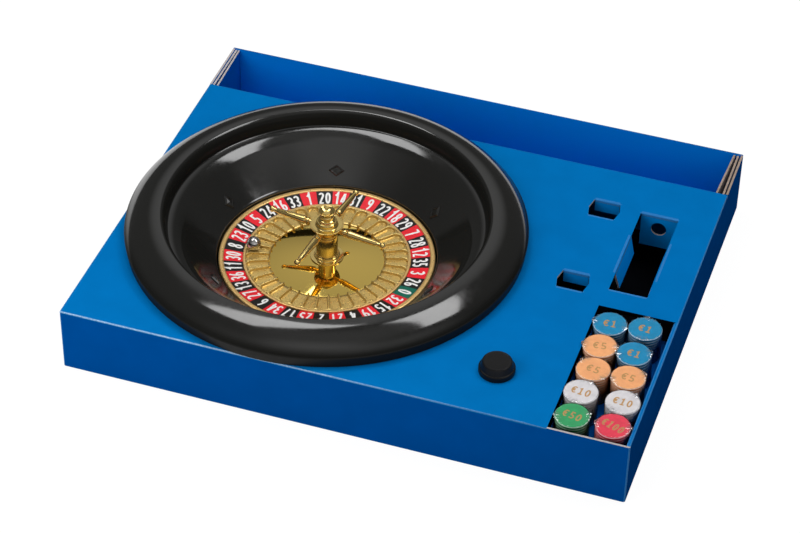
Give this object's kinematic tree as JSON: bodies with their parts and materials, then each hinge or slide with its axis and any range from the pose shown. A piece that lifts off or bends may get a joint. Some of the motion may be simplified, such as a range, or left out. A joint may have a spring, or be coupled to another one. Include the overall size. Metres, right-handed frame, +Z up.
{
  "type": "roulette set case",
  "caption": "Folded blue board case with a spinning roulette wheel in a glossy black bowl, a chip bin with wrapped chip stacks, a marker, cut-out windows with flaps, and a cloth trough.",
  "frame": {"origin": "centre of the case's footprint, at the table it stands on", "axes": "+X to the right along the case's front, +Y to the back, +Z up"},
  "size_m": [0.4, 0.3287, 0.0708],
  "materials": {
    "blue_board": "printed grey board with a matt blue cover sheet",
    "bowl_black": "injection-moulded, high gloss black",
    "bush": "natural acetal sleeve",
    "chip_blue": "moulded, hot-stamped numeral",
    "chip_green": "moulded, hot-stamped numeral",
    "chip_orange": "moulded, hot-stamped numeral",
    "chip_red": "moulded, hot-stamped numeral",
    "chip_white": "moulded, hot-stamped numeral",
    "gold_plate": "moulded plastic with a mirror gold plating",
    "marker_black": "moulded, satin black",
    "number_paper": "printed ring, red and black fields with one green",
    "steel": "bright turned steel"
  },
  "bodies": {
    "tray": {"bottom_panel": "blue_board", "platform_panel": "blue_board", "front_wall": "blue_board", "left_wall": "blue_board", "right_wall": "blue_board", "back_wall": "blue_board", "trough_front_wall": "blue_board", "trough_left_flap": "blue_board", "trough_left_lining": "blue_board", "trough_right_flap": "blue_board", "trough_right_lining": "blue_board", "bin_floor": "blue_board", "bin_leg": "blue_board", "bin_side": "blue_board"},
    "bowl_unit": {"bowl": "bowl_black", "spindle_pin": "steel", "spindle_washer": "steel", "spindle_nut": "steel"},
    "rotor": {"rotor_bush": "bush", "rotor_plate": "gold_plate", "number_ring": "number_paper", "cone_disc": "gold_plate", "turret_base": "gold_plate", "turret_column": "gold_plate", "turret_hub": "gold_plate", "turret_finial": "gold_plate", "turret_arm_1": "gold_plate", "turret_arm_2": "gold_plate", "turret_arm_3": "gold_plate", "turret_arm_4": "gold_plate"},
    "loose_ball": {"ball": "steel"},
    "loose_marker": {"marker": "marker_black"},
    "stack_01": {"chip_stack_01": "chip_green"},
    "stack_02": {"chip_stack_02": "chip_white"},
    "stack_03": {"chip_stack_03": "chip_orange"},
    "stack_04": {"chip_stack_04": "chip_orange"},
    "stack_05": {"chip_stack_05": "chip_blue"},
    "stack_06": {"chip_stack_06": "chip_red"},
    "stack_07": {"chip_stack_07": "chip_white"},
    "stack_08": {"chip_stack_08": "chip_orange"},
    "stack_09": {"chip_stack_09": "chip_blue"},
    "stack_10": {"chip_stack_10": "chip_blue"},
    "rear_rake_back_tab_body": {"rear_rake_back_tab": "blue_board"},
    "rear_rake_front_tab_body": {"rear_rake_front_tab": "blue_board"},
    "front_rake_back_tab_body": {"front_rake_back_tab": "blue_board"},
    "front_rake_front_tab_body": {"front_rake_front_tab": "blue_board"},
    "well_back_flap_body": {"well_back_flap": "blue_board"},
    "well_front_flap_body": {"well_front_flap": "blue_board"},
    "well_left_flap_body": {"well_left_flap": "blue_board"},
    "well_right_flap_body": {"well_right_flap": "blue_board"}
  },
  "joints": [
    {"name": "bowl_lift", "type": "slide", "parent": "tray", "child": "bowl_unit", "axis": [0, 0, 1], "range_m": [0, 0.12]},
    {"name": "rotor_spin", "type": "hinge", "parent": "bowl_unit", "child": "rotor", "pos_m": [-0.0574, -0.0232, 0.0204], "axis": [0, 0, 1], "continuous": true},
    {"name": "ball_lift", "type": "slide", "parent": "rotor", "child": "loose_ball", "axis": [0, 0, 1], "range_m": [0, 0.08]},
    {"name": "marker_lift", "type": "slide", "parent": "tray", "child": "loose_marker", "axis": [0, 0, 1], "range_m": [0, 0.05]},
    {"name": "stack_01_lift", "type": "slide", "parent": "tray", "child": "stack_01", "axis": [0, 0, 1], "range_m": [0, 0.06]},
    {"name": "stack_02_lift", "type": "slide", "parent": "tray", "child": "stack_02", "axis": [0, 0, 1], "range_m": [0, 0.06]},
    {"name": "stack_03_lift", "type": "slide", "parent": "tray", "child": "stack_03", "axis": [0, 0, 1], "range_m": [0, 0.06]},
    {"name": "stack_04_lift", "type": "slide", "parent": "tray", "child": "stack_04", "axis": [0, 0, 1], "range_m": [0, 0.06]},
    {"name": "stack_05_lift", "type": "slide", "parent": "tray", "child": "stack_05", "axis": [0, 0, 1], "range_m": [0, 0.06]},
    {"name": "stack_06_lift", "type": "slide", "parent": "tray", "child": "stack_06", "axis": [0, 0, 1], "range_m": [0, 0.06]},
    {"name": "stack_07_lift", "type": "slide", "parent": "tray", "child": "stack_07", "axis": [0, 0, 1], "range_m": [0, 0.06]},
    {"name": "stack_08_lift", "type": "slide", "parent": "tray", "child": "stack_08", "axis": [0, 0, 1], "range_m": [0, 0.06]},
    {"name": "stack_09_lift", "type": "slide", "parent": "tray", "child": "stack_09", "axis": [0, 0, 1], "range_m": [0, 0.06]},
    {"name": "stack_10_lift", "type": "slide", "parent": "tray", "child": "stack_10", "axis": [0, 0, 1], "range_m": [0, 0.06]},
    {"name": "rear_rake_back_fold", "type": "hinge", "parent": "tray", "child": "rear_rake_back_tab_body", "pos_m": [0.1203, 0.07715, 0.04925], "axis": [-1, 0, 0], "range_deg": [0, 90]},
    {"name": "rear_rake_front_fold", "type": "hinge", "parent": "tray", "child": "rear_rake_front_tab_body", "pos_m": [0.1203, 0.05805, 0.04925], "axis": [1, 0, 0], "range_deg": [0, 90]},
    {"name": "front_rake_back_fold", "type": "hinge", "parent": "tray", "child": "front_rake_back_tab_body", "pos_m": [0.1203, -0.00595, 0.04925], "axis": [-1, 0, 0], "range_deg": [0, 90]},
    {"name": "front_rake_front_fold", "type": "hinge", "parent": "tray", "child": "front_rake_front_tab_body", "pos_m": [0.1203, -0.02505, 0.04925], "axis": [1, 0, 0], "range_deg": [0, 90]},
    {"name": "well_back_fold", "type": "hinge", "parent": "tray", "child": "well_back_flap_body", "pos_m": [0.15975, 0.07325, 0.04925], "axis": [-1, 0, 0], "range_deg": [0, 90]},
    {"name": "well_front_fold", "type": "hinge", "parent": "tray", "child": "well_front_flap_body", "pos_m": [0.15975, -0.01625, 0.04925], "axis": [1, 0, 0], "range_deg": [0, 90]},
    {"name": "well_left_fold", "type": "hinge", "parent": "tray", "child": "well_left_flap_body", "pos_m": [0.14525, 0.024, 0.04925], "axis": [0, -1, 0], "range_deg": [0, 76]},
    {"name": "well_right_fold", "type": "hinge", "parent": "tray", "child": "well_right_flap_body", "pos_m": [0.17425, 0.024, 0.04925], "axis": [0, 1, 0], "range_deg": [0, 76]}
  ]
}
